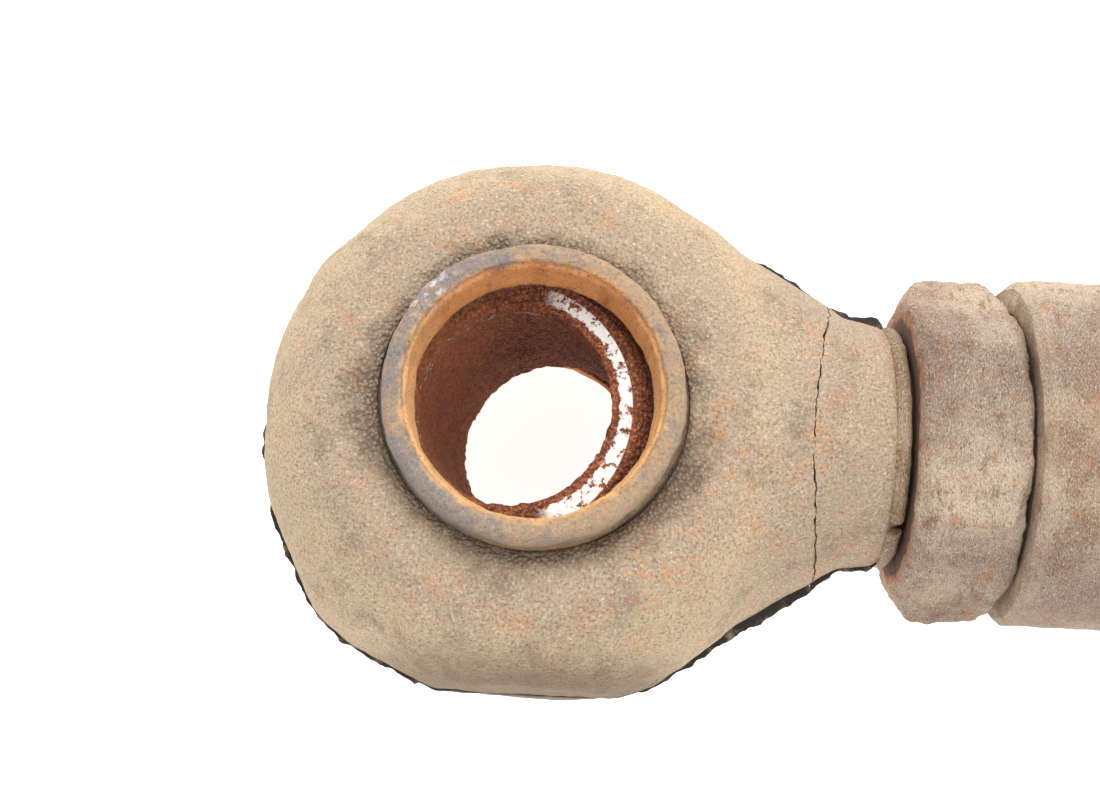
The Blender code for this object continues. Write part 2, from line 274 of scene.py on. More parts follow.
def as_object(name: str, work: bmesh.types.BMesh) -> bpy.types.Object:
    """Makes an object from a finished form and frees the form.

    Args:
        name: name of the object.
        work: its shape.

    Returns:
        The object, at the origin.
    """
    mesh = bpy.data.meshes.new(name)
    work.to_mesh(mesh)
    work.free()
    made = bpy.data.objects.new(name, mesh)
    bpy.context.scene.collection.objects.link(made)
    return made


def settle(piece: bpy.types.Object) -> bpy.types.Object:
    """Applies all the modifiers of a piece.

    Args:
        piece: the piece.

    Returns:
        The same piece with a plain mesh.
    """
    bpy.context.view_layer.update()
    graph = bpy.context.evaluated_depsgraph_get()
    mesh = bpy.data.meshes.new_from_object(piece.evaluated_get(graph))
    piece.modifiers.clear()
    old = piece.data
    piece.data = mesh
    mesh.name = old.name
    bpy.data.meshes.remove(old)
    return piece


def combine(piece: bpy.types.Object, form: bmesh.types.BMesh, cut: Cut) -> bpy.types.Object:
    """Joins a form to a piece, or cuts the piece with it.

    Args:
        piece: the piece that changes.
        form: the other form, which is freed.
        cut: what to do with it.

    Returns:
        The piece.
    """
    other = as_object("form", form)
    modifier = piece.modifiers.new("Cut", "BOOLEAN")
    modifier.operation = cut.value
    modifier.solver = "MANIFOLD"
    modifier.object = other
    settle(piece)
    bpy.data.meshes.remove(other.data)
    return piece


def evened(piece: bpy.types.Object, voxel: float, rounds: int) -> bpy.types.Object:
    """Gives a piece an even mesh and softens its edges.

    Args:
        piece: the piece.
        voxel: side of a mesh cell.
        rounds: rounds of smoothing, which set how far an edge is worn round.

    Returns:
        The piece.
    """
    remesh = piece.modifiers.new("Even", "REMESH")
    remesh.mode = "VOXEL"
    remesh.voxel_size = voxel
    smooth = piece.modifiers.new("Wear", "SMOOTH")
    smooth.factor = 0.5
    smooth.iterations = rounds
    return settle(piece)


def weathered(
    piece: bpy.types.Object,
    size: float,
    depth: float,
    seed: float,
    where: Callable[[Vector], float] | None = None,
) -> bpy.types.Object:
    """Moves the surface in and out by a soft random pattern.

    Args:
        piece: the piece.
        size: width of the bumps.
        depth: most that a point moves.
        seed: shifts the pattern, so that pieces differ.
        where: share of the depth at a place, or None for the whole piece.

    Returns:
        The piece.
    """
    mesh = piece.data
    shift = Vector((seed, 2 * seed, 3 * seed))
    normals = [vert.normal.copy() for vert in mesh.vertices]
    for vert, normal in zip(mesh.vertices, normals):
        share = 1.0 if where is None else where(vert.co)
        if share:
            vert.co += normal * (share * depth * noise.fractal(vert.co / size + shift, 1.0, 2.0, 3))
    mesh.update()
    return piece


def finished(piece: bpy.types.Object, material: bpy.types.Material, sharp: float = 40) -> bpy.types.Object:
    """Smooths the shading of a piece and gives it its material.

    Args:
        piece: the piece.
        material: its material.
        sharp: angle in degrees past which an edge stays sharp.

    Returns:
        The piece.
    """
    mesh = piece.data
    mesh.shade_smooth()
    mesh.set_sharp_from_angle(angle=math.radians(sharp))
    mesh.materials.clear()
    mesh.materials.append(material)
    LOG.info("%s: %d faces", piece.name, len(mesh.polygons))
    return piece


def hand_over(piece: bpy.types.Object, body: str, node: str) -> None:
    """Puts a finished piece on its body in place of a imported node.

    Args:
        piece: the piece.
        body: the body that it moves with.
        node: the node that it stands for.
    """
    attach(piece, body)
    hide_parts(node)


def dress(nodes: Iterable[str], material: bpy.types.Material) -> None:
    """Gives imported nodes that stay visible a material.

    Args:
        nodes: their names.
        material: the material.
    """
    for name in nodes:
        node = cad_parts[name]
        if not node.material_slots:
            node.data.materials.append(material)
        for slot in node.material_slots:
            slot.material = material
        LOG.info("%s keeps its shape", name)


# ---------------------------------------------------------------- materials

Socket = bpy.types.NodeSocket


class Wiring:
    """Adds shader nodes to one material, all on the object's own coordinates in metres."""

    def __init__(self, name: str, colour: Colour) -> None:
        """Starts a material.

        Args:
            name: its name.
            colour: the colour that the layers lie on.
        """
        self.tone: Socket | Colour = colour
        self.material = bpy.data.materials.new(name)
        self.material.use_nodes = True
        self.tree = self.material.node_tree
        self.shader = self.tree.nodes["Principled BSDF"]
        self.place = self.tree.nodes.new("ShaderNodeTexCoord").outputs["Object"]

    def feed(self, target: Socket, value: Socket | Colour | float) -> None:
        """Joins a socket to an input, or sets the input to a constant.

        Args:
            target: the input.
            value: a socket, a colour or a number.
        """
        if isinstance(value, bpy.types.NodeSocket):
            self.tree.links.new(value, target)
        elif isinstance(value, tuple) and target.type == "RGBA":
            target.default_value = (*value, 1)
        else:
            target.default_value = value

    def stretched(self, scale: Colour) -> Socket:
        """The coordinates with each axis scaled, for a pattern that runs along one of them.

        Args:
            scale: how much finer the pattern is along X, Y and Z.

        Returns:
            The coordinates.
        """
        node = self.tree.nodes.new("ShaderNodeMapping")
        node.inputs["Scale"].default_value = scale
        self.feed(node.inputs["Vector"], self.place)
        return node.outputs[0]

    def grain(
        self, size: float, detail: float = 3, rough: float = 0.55, place: Socket | None = None
    ) -> Socket:
        """Random soft spots around 0.5.

        Args:
            size: their width.
            detail: how many finer layers they have.
            rough: strength of those layers.
            place: coordinates, or None for the plain ones.

        Returns:
            The value.
        """
        node = self.tree.nodes.new("ShaderNodeTexNoise")
        self.feed(node.inputs["Vector"], place or self.place)
        node.inputs["Scale"].default_value = 1 / size
        node.inputs["Detail"].default_value = detail
        node.inputs["Roughness"].default_value = rough
        return node.outputs[0]

    def specks(self, size: float, width: float, share: float) -> Socket:
        """Separate grains of dirt: 1 on a grain, else 0.

        Args:
            size: distance between places where a grain can lie.
            width: width of a grain, as a share of that distance.
            share: share of the places that have one.

        Returns:
            The value.
        """
        node = self.tree.nodes.new("ShaderNodeTexVoronoi")
        self.feed(node.inputs["Vector"], self.place)
        node.inputs["Scale"].default_value = 1 / size
        colour = self.tree.nodes.new("ShaderNodeSeparateColor")
        self.feed(colour.inputs[0], node.outputs["Color"])
        chosen = self.rise(colour.outputs[0], 1 - share, 1 - share + 0.01)
        return self.times(chosen, self.rise(node.outputs["Distance"], width, 0.6 * width))

    def cells(self, size: float) -> Socket:
        """Rounded grains packed close: 0 in the middle of one, rising towards the gaps.

        Args:
            size: width of a grain.

        Returns:
            The value.
        """
        node = self.tree.nodes.new("ShaderNodeTexVoronoi")
        self.feed(node.inputs["Vector"], self.place)
        node.inputs["Scale"].default_value = 1 / size
        return node.outputs["Distance"]

    def rise(self, value: Socket, low: float, high: float) -> Socket:
        """A smooth step of a value.

        Args:
            value: the value.
            low: where the step starts, at 0.
            high: where it ends, at 1; it may lie below low.

        Returns:
            The step.
        """
        node = self.tree.nodes.new("ShaderNodeMapRange")
        node.interpolation_type = "SMOOTHSTEP"
        falling = high < low
        self.feed(node.inputs["Value"], value)
        node.inputs["From Min"].default_value = min(low, high)
        node.inputs["From Max"].default_value = max(low, high)
        node.inputs["To Min"].default_value = float(falling)
        node.inputs["To Max"].default_value = float(not falling)
        return node.outputs[0]

    def stains(
        self,
        size: float,
        low: float,
        high: float,
        detail: float = 3,
        rough: float = 0.55,
        place: Socket | None = None,
    ) -> Socket:
        """Random spots cut to a smooth edge: grain() with a rise() from low to high."""
        return self.rise(self.grain(size, detail, rough, place), low, high)

    def sum(self, first: Socket, second: Socket | float, operation: str = "ADD") -> Socket:
        """Two values put together by a plain operation.

        Args:
            first: one value.
            second: the other.
            operation: the Math node's name for it.

        Returns:
            The result.
        """
        node = self.tree.nodes.new("ShaderNodeMath")
        node.operation = operation
        self.feed(node.inputs[0], first)
        self.feed(node.inputs[1], second)
        return node.outputs[0]

    def times(self, first: Socket, second: Socket | float) -> Socket:
        """The product of two values."""
        return self.sum(first, second, "MULTIPLY")

    def size_of(self, value: Socket) -> Socket:
        """The value without its sign."""
        return self.sum(value, 0.0, "ABSOLUTE")

    def frayed(
        self, value: Socket, size: float, reach: float, detail: float = 3, rough: float = 0.55
    ) -> Socket:
        """A distance with grain() added, which makes any edge taken from it ragged.

        Args:
            value: the distance.
            size: width of the jags.
            reach: how far they go at most.
            detail: how many finer layers they have.
            rough: strength of those layers.

        Returns:
            The value.
        """
        return self.sum(value, self.times(self.grain(size, detail, rough), reach))

    def part(self, letter: str, place: Socket | None = None) -> Socket:
        """One coordinate, by its letter, of the plain coordinates or of those given.

        Args:
            letter: X, Y or Z.
            place: coordinates, or None for the plain ones.

        Returns:
            The value.
        """
        node = self.tree.nodes.new("ShaderNodeSeparateXYZ")
        self.feed(node.inputs[0], place or self.place)
        return node.outputs[letter]

    def along(self) -> Socket:
        """The coordinates with only their part along the shank."""
        return self.stretched((1, 0, 0))

    def off_middle(self) -> Socket:
        """Distance from the mid-plane of the eye."""
        return self.size_of(self.part("Z"))

    def tipped(self, angle: float) -> Socket:
        """The coordinates of something that lies tipped about Y, as if it lay straight.

        Args:
            angle: how far it is tipped, in degrees.

        Returns:
            The coordinates.
        """
        node = self.tree.nodes.new("ShaderNodeMapping")
        node.inputs["Rotation"].default_value = (0, math.radians(-angle), 0)
        self.feed(node.inputs["Vector"], self.place)
        return node.outputs[0]

    def radius(self, axis: Axis, place: Socket | None = None) -> Socket:
        """Distance from the axis of the bore or of the shank.

        Args:
            axis: the axis.
            place: coordinates, or None for the plain ones.

        Returns:
            The distance.
        """
        flat = self.tree.nodes.new("ShaderNodeVectorMath")
        flat.operation = "MULTIPLY"
        self.feed(flat.inputs[0], place or self.place)
        flat.inputs[1].default_value = axis.value
        length = self.tree.nodes.new("ShaderNodeVectorMath")
        length.operation = "LENGTH"
        self.feed(length.inputs[0], flat.outputs[0])
        return length.outputs["Value"]

    def spot(
        self, centre: Sequence[float], reach: float, core: float = 0.15, place: Socket | None = None
    ) -> Socket:
        """A soft round patch: 1 at its centre, 0 from its reach on.

        Args:
            centre: its centre.
            reach: its radius.
            core: share of the radius that is full.
            place: coordinates, or None for the plain ones.

        Returns:
            The value.
        """
        node = self.tree.nodes.new("ShaderNodeVectorMath")
        node.operation = "DISTANCE"
        self.feed(node.inputs[0], place or self.place)
        node.inputs[1].default_value = centre
        return self.rise(node.outputs["Value"], reach, core * reach)

    def blend(self, share: Socket | float, first: Socket | Colour, second: Socket | Colour) -> Socket:
        """A mix of two colours.

        Args:
            share: share of the second.
            first: the colour below.
            second: the colour above.

        Returns:
            The colour.
        """
        node = self.tree.nodes.new("ShaderNodeMix")
        node.data_type = "RGBA"
        self.feed(node.inputs[0], share)
        self.feed(node.inputs[6], first)
        self.feed(node.inputs[7], second)
        return node.outputs[2]

    def layer(self, share: Socket, colour: Socket | Colour, amount: float = 1.0) -> None:
        """Lays a colour over what the material has so far.

        Args:
            share: where it lies, from 0 to 1.
            colour: the colour.
            amount: how much of it shows where it lies fully.
        """
        covered = self.times(share, amount) if amount < 1 else share
        self.tone = self.blend(covered, self.tone, colour)

    def bump(self, height: Socket, depth: float, strength: float = 1.0) -> None:
        """Roughens the surface by a height pattern, on top of what is there.

        Args:
            height: the pattern, from 0 to 1.
            depth: how deep a full step is.
            strength: how much of it shows.
        """
        node = self.tree.nodes.new("ShaderNodeBump")
        node.inputs["Strength"].default_value = strength
        node.inputs["Distance"].default_value = depth
        self.feed(node.inputs["Height"], height)
        below = self.shader.inputs["Normal"]
        if below.is_linked:
            self.feed(node.inputs["Normal"], below.links[0].from_socket)
        self.feed(below, node.outputs[0])

    def close(self, rough: Socket | float, metal: Socket | float = 0.0) -> bpy.types.Material:
        """Sets the shader's main inputs, with the layers as its base colour.

        Args:
            rough: roughness.
            metal: how metallic it is.

        Returns:
            The finished material.
        """
        self.feed(self.shader.inputs["Base Color"], self.tone)
        self.feed(self.shader.inputs["Roughness"], rough)
        self.feed(self.shader.inputs["Metallic"], metal)
        return self.material


@dataclass(frozen=True)
class DustyRubber:
    """Old rubber under a skin of road dust, with rust grains and a bare dark moulding edge."""

    name: str = "dusty_rubber"
    dust: Colour = paint(190, 168, 136)
    mauve: Colour = paint(168, 148, 126)
    bare: Colour = paint(116, 98, 80)
    # Dark colour of the sandy dirt and of the painted shade, in the recess and towards the underside.
    dirt_and_shade: Colour = paint(96, 80, 64)
    edge: Colour = paint(58, 54, 48)
    rust: Colour = paint(208, 134, 76)
    sand: Colour = paint(228, 216, 196)
    front: float = 12 * MM
    rust_spots: tuple = ((11, -12, 7), (15, -4, 5))
    # Spots where the dirt and painted shade of the recess reach further out, on its left and lower right.
    dirt_and_shade_spots: tuple = ((-14, -1, 9, 1.6), (10, -10, 8, 1.0), (13, -5, 6, 1.2))

    def build(self) -> bpy.types.Material:
        """Makes the material, with sandy dirt and painted shade in the recess round the closing ring, and
        painted shade towards the flat underside.

        Returns:
            The finished material.
        """
        w = Wiring(self.name, self.dust)
        out = w.radius(Axis.BORE)
        band = w.rise(w.frayed(out, 5 * MM, 6 * MM), 23 * MM, 19 * MM)
        neck = w.rise(w.part("X"), 15 * MM, 21 * MM)
        w.layer(w.sum(band, neck, "MAXIMUM"), self.mauve, 0.8)
        w.layer(w.stains(3.5 * MM, 0.5, 0.75, 5, 0.65), self.bare, 0.55)
        w.layer(w.stains(2.6 * MM, 0.5, 0.72, 5, 0.75), self.rust, 0.38)
        for x, y, reach in self.rust_spots:
            near = w.spot((x * MM, y * MM, self.front), reach * MM)
            w.layer(w.times(near, w.stains(0.8 * MM, 0.5, 0.72, 4, 0.7)), self.rust, 0.8)
        grains = w.cells(0.34 * MM)
        fine = w.grain(0.22 * MM, 3, 0.7)
        w.layer(w.rise(fine, 0.5, 0.68), self.bare, 0.75)
        w.layer(w.rise(fine, 0.46, 0.3), self.sand, 0.5)
        w.layer(w.times(w.specks(0.55 * MM, 0.24, 0.22), w.stains(6 * MM, 0.42, 0.58)), self.rust)
        w.layer(w.specks(1.2 * MM, 0.09, 0.16), self.sand, 0.8)
        # Painted shade and sandy dirt: the rubber darkens in the recess round the closing ring, further out
        # at the listed spots.
        reached = w.frayed(out, 2.2 * MM, 5 * MM, 4)
        for x, y, reach, more in self.dirt_and_shade_spots:
            reached = w.sum(reached, w.times(w.spot((x * MM, y * MM, self.front), reach * MM), -more * MM))
        recess_dirt_and_shade = w.rise(reached, 16.6 * MM, 13.4 * MM)
        gaps = w.rise(grains, 0.25, 0.6)
        w.layer(w.times(recess_dirt_and_shade, w.sum(w.times(gaps, 0.45), 0.3)), self.dirt_and_shade)
        # Painted shade: the rubber grows darker towards its flat underside.
        w.layer(w.rise(w.frayed(w.part("Y"), 1.2 * MM, 2.5 * MM, 4), -16.2 * MM, -20.2 * MM), self.dirt_and_shade, 0.72)
        w.layer(w.rise(w.frayed(w.off_middle(), 1.2 * MM, 0.8 * MM), 1.0 * MM, 0.7 * MM), self.edge)
        w.bump(w.grain(1.6 * MM, 4), 0.25 * MM, 0.6)
        w.bump(w.times(w.times(grains, -1.0), w.sum(w.times(recess_dirt_and_shade, 0.9), 0.25)), 0.3 * MM)
        w.bump(fine, 0.1 * MM, 0.9)
        return w.close(0.95)


@dataclass(frozen=True)
class DustyIron:
    """Rusted iron under brown dust: the nut, the tube and the forging."""

    name: str = "dusty_iron"
    dust: Colour = paint(210, 186, 158)
    brown: Colour = paint(158, 126, 100)
    grey: Colour = paint(158, 148, 138)
    dark: Colour = paint(78, 60, 50)
    rust: Colour = paint(200, 124, 74)
    sand: Colour = paint(232, 222, 208)
    greyness: float = 0.35
    low_edge: float = 29.9 * MM
    # Place of the tube's end step, which is painted lighter.
    step_edge: float = 38.9 * MM
    seam: float = 0.85

    def build(self) -> bpy.types.Material:
        """Makes the material, with dirt streaks round the shank axis.

        Returns:
            The finished material.
        """
        w = Wiring(self.name, self.dust)
        around = w.stretched((2.6, 1.0, 1.0))
        w.layer(w.stains(9 * MM, 0.38, 0.66, 4), self.brown)
        w.layer(w.stains(16 * MM, 0.42, 0.6), self.grey, self.greyness)
        w.layer(w.stains(2.4 * MM, 0.48, 0.68, 5, 0.7, around), self.brown)
        w.layer(w.stains(1.3 * MM, 0.56, 0.72, 5, 0.75, around), self.dark, 0.6)
        fine = w.grain(0.22 * MM, 4, 0.72, around)
        w.layer(w.rise(fine, 0.51, 0.66), self.dark, 0.8)
        w.layer(w.rise(fine, 0.47, 0.33), self.sand, 0.8)
        w.layer(w.stains(1.4 * MM, 0.55, 0.7, 5, 0.75), self.rust, 0.55)
        w.layer(w.specks(0.8 * MM, 0.2, 0.16), self.rust, 0.8)
        w.layer(w.specks(1.0 * MM, 0.09, 0.2), self.sand, 0.8)
        # Painted shade: a little darker on the undersides of the nut, the tube and the forging.
        w.layer(w.rise(w.frayed(w.part("Y"), 1.5 * MM, 3 * MM, 4), -8 * MM, -13 * MM), self.dark, 0.15)
        # Rust on the outer part of the nut's face by the band, and painted shade darkening its inner part,
        # which lies in shade.
        face = w.times(w.spot((self.low_edge, 0, 0), 0.4 * MM, 0.4, w.along()), self.seam)
        reach = w.frayed(w.radius(Axis.SHANK), 1.2 * MM, 1.2 * MM, 4)
        rusty = w.times(face, w.rise(reach, 12.3 * MM, 11.6 * MM))
        w.layer(w.times(rusty, w.stains(0.8 * MM, 0.4, 0.6, 4, 0.7)), self.rust)
        w.layer(w.times(face, w.rise(reach, 11.6 * MM, 11.0 * MM)), self.dark)
        # Painted light: the dust colour lightens the end step of the tube, which lies in shade.
        w.layer(w.spot((self.step_edge, 0, 0), 0.9 * MM, 0.5, w.along()), self.dust, 0.18)
        w.bump(w.grain(3 * MM, 4, 0.6, around), 0.5 * MM, 0.6)
        w.bump(w.grain(0.9 * MM, 5, 0.7, around), 0.3 * MM, 0.7)
        w.bump(fine, 0.14 * MM)
        return w.close(0.88)


@dataclass(frozen=True)
class RingRust:
    """The closing ring: worn iron outside, bright orange rust down its mouth, with painted light on the side
    of the mouth that faces the lamp.
    """

    name: str = "ring_rust"
    iron: Colour = paint(168, 142, 112)
    blue: Colour = paint(136, 126, 118)
    pale: Colour = paint(205, 205, 208)
    orange: Colour = paint(232, 162, 98)
    deep: Colour = paint(162, 92, 48)
    dark: Colour = paint(84, 50, 34)
    # Bright orange of the painted light on the side of the mouth that faces the lamp.
    painted_light_orange: Colour = paint(255, 204, 138)
    worn_at: Colour = (-8.3 * MM, 7.2 * MM, 16 * MM)

    def build(self) -> bpy.types.Material:
        """Makes the material for both rings.

        Returns:
            The finished material.
        """
        w = Wiring(self.name, self.iron)
        left = w.times(w.rise(w.part("X"), 2 * MM, -9 * MM), 0.2)
        w.layer(w.rise(w.sum(w.grain(3 * MM, 4, 0.65), left), 0.5, 0.68), self.blue)
        w.layer(w.stains(1.1 * MM, 0.5, 0.7, 4, 0.7), self.orange, 0.25)
        worn = w.times(w.spot(self.worn_at, 3.2 * MM), w.stains(0.7 * MM, 0.48, 0.6, 4))
        w.layer(worn, self.pale, 0.8)
        fine = w.grain(0.24 * MM, 4, 0.7)
        streaks = w.stains(1.5 * MM, 0.45, 0.75, 4, 0.6, w.stretched((1, 1, 0.35)))
        mouth = w.blend(w.times(streaks, 0.7), self.orange, self.deep)
        depth = w.rise(w.frayed(w.off_middle(), 1.5 * MM, 1.6 * MM), 13.2 * MM, 12.3 * MM)
        mouth = w.blend(w.times(depth, 0.85), mouth, self.dark)
        # Painted light: the side of the mouth towards -Y, which faces the lamp, is made bright orange, less
        # so deeper down.
        lit = w.rise(w.frayed(w.part("Y"), 3 * MM, 4 * MM), 9 * MM, 3 * MM)
        mouth = w.blend(w.times(lit, w.sum(w.times(depth, -0.6), 0.65)), mouth, self.painted_light_orange)
        inside = w.rise(w.frayed(w.radius(Axis.BORE), 1.6 * MM, 1.2 * MM, 4), 10.9 * MM, 10.1 * MM)
        w.layer(inside, mouth)
        w.layer(w.rise(fine, 0.5, 0.72), self.dark, 0.6)
        w.layer(w.rise(fine, 0.45, 0.28), self.pale, 0.35)
        w.bump(w.grain(1.2 * MM, 4), 0.3 * MM, 0.6)
        w.bump(fine, 0.12 * MM, 0.9)
        return w.close(0.88)


@dataclass(frozen=True)
class BallRust:
    """The ball: polished where it still runs, granular red rust in its bore."""

    name: str = "ball_rust"
    steel: Colour = paint(252, 250, 246)
    crust: Colour = paint(166, 98, 66)
    deep: Colour = paint(88, 46, 32)
    bright: Colour = paint(226, 142, 90)
    tilt: float = -10.0
    # Heights of the turning marks, painted with highlights along their ridges.
    tool_line_highlights: tuple[float, ...] = (9.0 * MM, 8.2 * MM)
    rubbed_round: Colour = (-0.7 * MM, -0.3 * MM, 10 * MM)
    rubbed_reach: float = 10.25 * MM

    def build(self) -> bpy.types.Material:
        """Makes the material, with bare metal where the front face was rubbed, painted near white as a
        reflection on the side towards the shank.

        Returns:
            The finished material.
        """
        w = Wiring(self.name, self.crust)
        own = w.tipped(self.tilt)
        fine = w.grain(0.26 * MM, 4, 0.8)
        grains = w.cells(0.42 * MM)
        w.layer(w.stains(2 * MM, 0.4, 0.65, 4), self.deep, 0.6)
        w.layer(w.rise(grains, 0.3, 0.65), self.deep, 0.7)
        w.layer(w.rise(fine, 0.5, 0.66), self.bright)
        w.layer(w.rise(fine, 0.44, 0.3), self.deep)
        # Painted light: the left part, whose bore wall faces the light, is made brighter.
        w.layer(w.rise(w.part("X"), -1 * MM, -8 * MM), self.bright, 0.4)
        # Thin near-white lines at two heights: real turning marks with painted highlights on their ridges.
        for height in self.tool_line_highlights:
            off_line = w.size_of(w.sum(w.part("Z", own), -height))
            line = w.rise(off_line, 0.11 * MM, 0.05 * MM)
            w.layer(w.times(line, w.rise(fine, 0.42, 0.6)), self.steel)
        patchy = w.stains(1.1 * MM, 0.565, 0.52, 5, 0.8, own)
        rubbed = w.spot(self.rubbed_round, self.rubbed_reach, 0.985, own)
        out = w.frayed(w.radius(Axis.BORE, own), 0.8 * MM, 1.2 * MM, 5, 0.75)
        face = w.times(w.rise(out, 9.05 * MM, 9.2 * MM), rubbed)
        # The rubbed bare face is real wear; its near-white colour, only on the side towards the shank, is a
        # painted reflection.
        ahead = w.frayed(w.part("X"), 1.5 * MM, 2 * MM, 4)
        worn = w.times(w.times(face, patchy), w.rise(ahead, 1.2 * MM, 3.2 * MM))
        w.layer(worn, self.steel)
        crusty = w.sum(w.times(worn, -1.0), 1.0)
        w.bump(w.times(w.times(grains, -1.0), crusty), 0.3 * MM)
        w.bump(w.times(fine, crusty), 0.2 * MM)
        return w.close(w.rise(worn, 1.6, -0.6), w.times(worn, 0.25))


@dataclass(frozen=True)
class BareSteel:
    """Spring or bearing steel with a film of grease and a little rust."""

    name: str = "bearing_steel"
    steel: Colour = paint(150, 144, 138)
    film: Colour = paint(104, 78, 58)

    def build(self) -> bpy.types.Material:
        """Makes the material.

        Returns:
            The finished material.
        """
        w = Wiring(self.name, self.steel)
        film = w.stains(1.6 * MM, 0.45, 0.65, 5, 0.6)
        w.layer(film, self.film)
        w.bump(w.grain(0.3 * MM, 3), 0.03 * MM, 0.6)
        return w.close(w.rise(film, -1.0, 1.4), w.rise(film, 1.6, 0.2))


@dataclass(frozen=True)
class LinerCloth:
    """The woven bearing liner."""

    name: str = "liner_cloth"
    thread: Colour = paint(176, 160, 128)
    gap: Colour = paint(96, 78, 56)
    spacing: float = 0.5 * MM

    def build(self) -> bpy.types.Material:
        """Makes the material from two crossed sets of threads.

        Returns:
            The finished material.
        """
        w = Wiring(self.name, self.gap)
        heights = []
        for letter in "XZ":
            wave = w.sum(w.times(w.part(letter), math.tau / self.spacing), 0.0, "SINE")
            heights.append(w.sum(w.times(wave, 0.5), 0.5))
        weave = w.times(heights[0], heights[1])
        w.layer(w.rise(weave, 0.1, 0.5), self.thread)
        w.bump(weave, 0.08 * MM, 0.8)
        return w.close(0.75)


# ---------------------------------------------------------------- sub-assemblies


def eye_outline(spread: float = 0.0) -> list[Point]:
    """The section of the steel eye, or of the space for it in the rubber.

    Args:
        spread: how much wider than the steel it is.

    Returns:
        The points from the front round to the rear.
    """
    side = [(20.3, 3.5), (19.7, 6.0), (18.3, 8.8), (17.5, 10.6)]
    side = [(r * MM + spread, height * MM + (spread if height > 10 else 0)) for r, height in side]
    return both_sides([(0, side[-1][1]), *side[::-1]])


